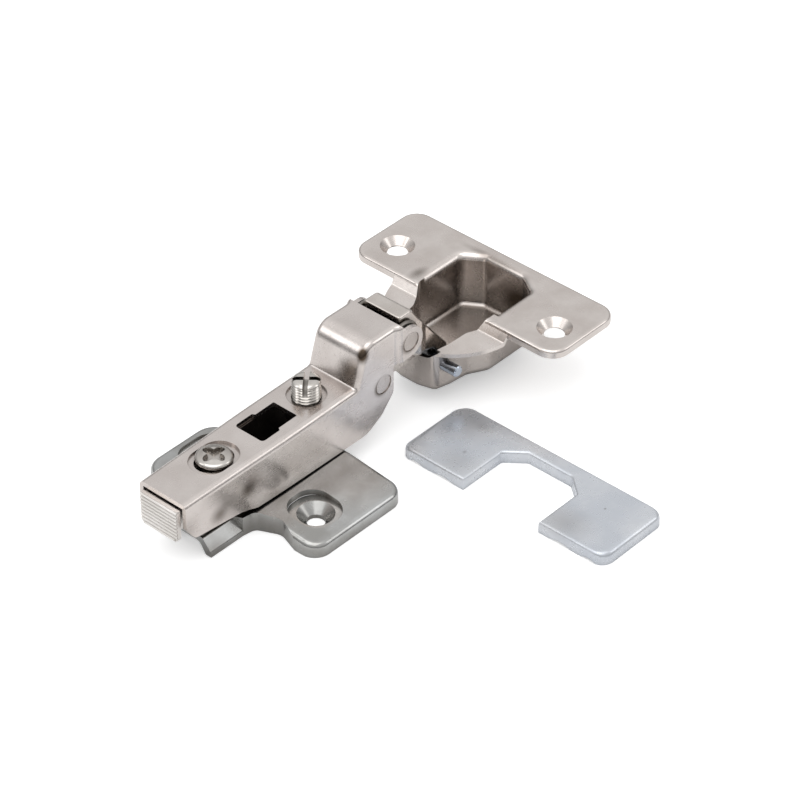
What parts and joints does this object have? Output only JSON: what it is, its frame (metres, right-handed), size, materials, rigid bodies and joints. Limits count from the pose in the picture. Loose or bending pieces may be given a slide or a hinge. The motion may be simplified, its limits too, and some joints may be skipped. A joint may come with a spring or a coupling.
{
  "type": "concealed cup hinge",
  "caption": "Concealed cabinet hinge with a drilled-in cup, cranked arm, clip-on winged mounting plate and a loose cover cap for the cup flange.",
  "frame": {"origin": "midway between the mounting plate's two screw holes, on the face that lies against the cabinet side", "axes": "+X from the release lever towards the cup, +Z away from the cabinet side, +Y across the plate's wings; the hinge is fully open at rest"},
  "size_m": [0.1175, 0.1037, 0.0297],
  "materials": {
    "plate_steel": "nickel-plated pressed steel, satin, slightly cool grey",
    "arm_steel": "nickel-plated pressed steel, satin, warm light grey",
    "carriage_steel": "nickel-plated pressed steel",
    "pin_steel": "steel pin",
    "lever_metal": "nickel-plated casting with ribbed face",
    "spring_steel": "spring wire",
    "screw_nickel": "bright nickel-plated screw",
    "link_steel": "nickel-plated pressed steel",
    "cup_steel": "nickel-plated deep-drawn steel, satin, warm light grey",
    "zinc_pin": "bright zinc-plated pin, bluish",
    "cap_metal": "fine satin plated sheet, cool bluish silver"
  },
  "bodies": {
    "plate": {"mounting_plate": "plate_steel", "arm_carriage": "carriage_steel", "carriage_front_pin": "pin_steel", "lever_pin": "pin_steel", "lever_spring": "spring_steel", "cup_cover_cap": "cap_metal"},
    "lever": {"release_lever": "lever_metal"},
    "arm": {"hinge_arm": "arm_steel", "arm_pin_front": "pin_steel", "arm_pin_rear": "pin_steel", "closing_spring": "spring_steel"},
    "depth_screw_body": {"depth_screw": "screw_nickel", "depth_washer": "screw_nickel"},
    "side_screw_body": {"side_screw": "screw_nickel"},
    "link": {"outer_link": "link_steel"},
    "cup_body": {"cup": "cup_steel", "cup_pin_near": "zinc_pin", "cup_pin_far": "zinc_pin"},
    "toggle": {"inner_link": "link_steel"}
  },
  "joints": [
    {"name": "depth_slide", "type": "slide", "parent": "plate", "child": "arm", "axis": [1, 0, 0], "range_m": [-0.0015, 0.0015]},
    {"name": "lever_press", "type": "hinge", "parent": "plate", "child": "lever", "pos_m": [-0.0226, 0, 0.0136], "axis": [0, -1, 0], "range_deg": [0, 8], "stiffness_Nm_per_rad": 0.05, "springref_deg": -11.46},
    {"name": "depth_screw_turn", "type": "hinge", "parent": "plate", "child": "depth_screw_body", "pos_m": [-0.0148, 0, 0.018], "axis": [0, 0, 1], "continuous": true},
    {"name": "side_screw_turn", "type": "hinge", "parent": "arm", "child": "side_screw_body", "pos_m": [0.0144, 0, 0.02], "axis": [0, 0, 1], "continuous": true},
    {"name": "link_turn", "type": "hinge", "parent": "arm", "child": "link", "pos_m": [0.0399, 0, 0.024], "axis": [0, -1, 0], "range_deg": [-22.6, 0]},
    {"name": "cup_swing", "type": "hinge", "parent": "link", "child": "cup_body", "pos_m": [0.0548, 0, 0.008], "axis": [0, -1, 0], "range_deg": [0, 112.5]},
    {"name": "toggle_turn", "type": "hinge", "parent": "cup_body", "child": "toggle", "pos_m": [0.0516, 0, 0.0108], "axis": [0, -1, 0], "range_deg": [-125, 0]}
  ],
  "couplings": [
    {"joint": "link_turn", "follows": "cup_swing", "ratio": -0.2},
    {"joint": "toggle_turn", "follows": "cup_swing", "ratio": -1.11}
  ]
}
